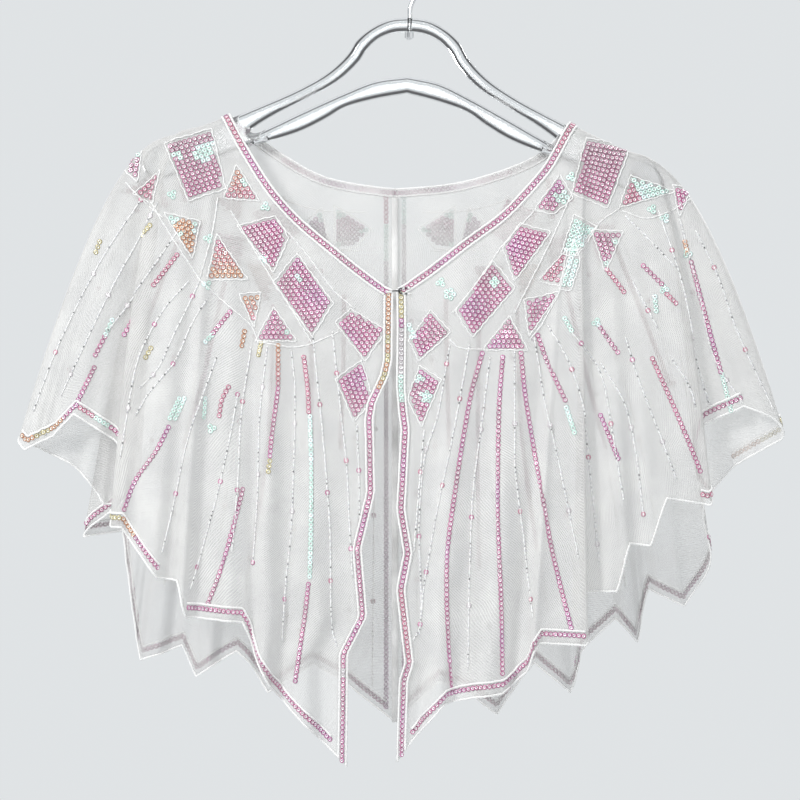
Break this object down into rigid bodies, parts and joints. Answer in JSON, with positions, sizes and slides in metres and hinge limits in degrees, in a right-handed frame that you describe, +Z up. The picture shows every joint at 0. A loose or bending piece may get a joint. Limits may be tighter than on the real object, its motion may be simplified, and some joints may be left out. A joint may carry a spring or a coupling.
{
  "type": "sequinned net capelet on a clear hanger",
  "caption": "Short open-front capelet of sheer white net with sequin patches, beaded trims and a scalloped hem, hanging from a clear hanger with a metal hook.",
  "frame": {"origin": "underside of the hanger hook's bend, where it rests on a rail", "axes": "+Z up, -Y towards the front of the capelet, +X to the viewer's right when facing the front"},
  "size_m": [0.5981, 0.086, 0.6391],
  "materials": {
    "net": "sheer net",
    "trim": "satin cord and sequins",
    "tape": "matte",
    "sequins": "iridescent",
    "beads": "silver-lined",
    "clear": "polished",
    "steel": "polished",
    "closure": "satin"
  },
  "bodies": {
    "root": {"cloth_left": "net", "cloth_right": "net", "neck_band_left": "trim", "neck_band_right": "trim", "front_band_left": "trim", "front_band_right": "trim", "centre_back_tape": "tape", "closure_hook": "closure", "closure_eye": "closure", "hanger_body": "clear", "hanger_hook": "steel", "hanger_nut": "steel"}
  },
  "joints": []
}
